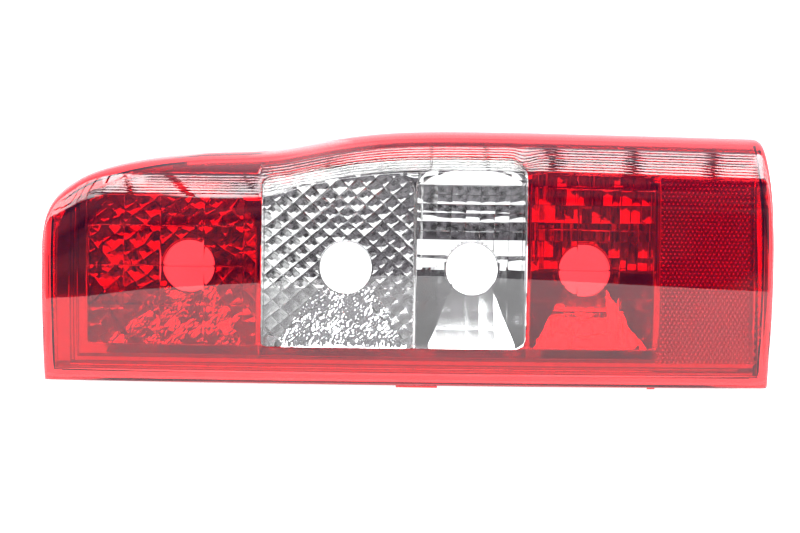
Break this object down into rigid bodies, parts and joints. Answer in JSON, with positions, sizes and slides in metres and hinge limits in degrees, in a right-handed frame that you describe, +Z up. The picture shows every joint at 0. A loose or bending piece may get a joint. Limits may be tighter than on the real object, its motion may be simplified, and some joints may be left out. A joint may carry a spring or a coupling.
{
  "type": "tail light cluster",
  "caption": "Long vehicle tail light cluster with red lens, clear window over the middle chambers, metallised bulb bowls, reflex panel and stud-mounted back shell.",
  "frame": {"origin": "centre of the four mounting studs, on the plane of the gasket's free face", "axes": "X along the lamp, -Y the way the lens faces, +Z up as the lamp stands in the picture"},
  "size_m": [0.4826, 0.118, 0.1676],
  "materials": {
    "red_lens": "polished transparent red acrylic",
    "clear_lens": "polished clear acrylic",
    "metallised": "vacuum metallised plastic",
    "reflex_red": "prismatic red acrylic",
    "housing_plastic": "moulded black ABS",
    "foam": "closed cell foam",
    "plated_steel": "zinc plated",
    "rubber": "moulded rubber"
  },
  "bodies": {
    "root": {"lens_red": "red_lens", "lens_clear": "clear_lens", "reflector": "metallised", "reflex_panel": "reflex_red", "housing": "housing_plastic", "body_gasket": "foam", "mounting_studs": "plated_steel", "reflector_screws": "plated_steel", "breather_caps": "rubber"}
  },
  "joints": []
}
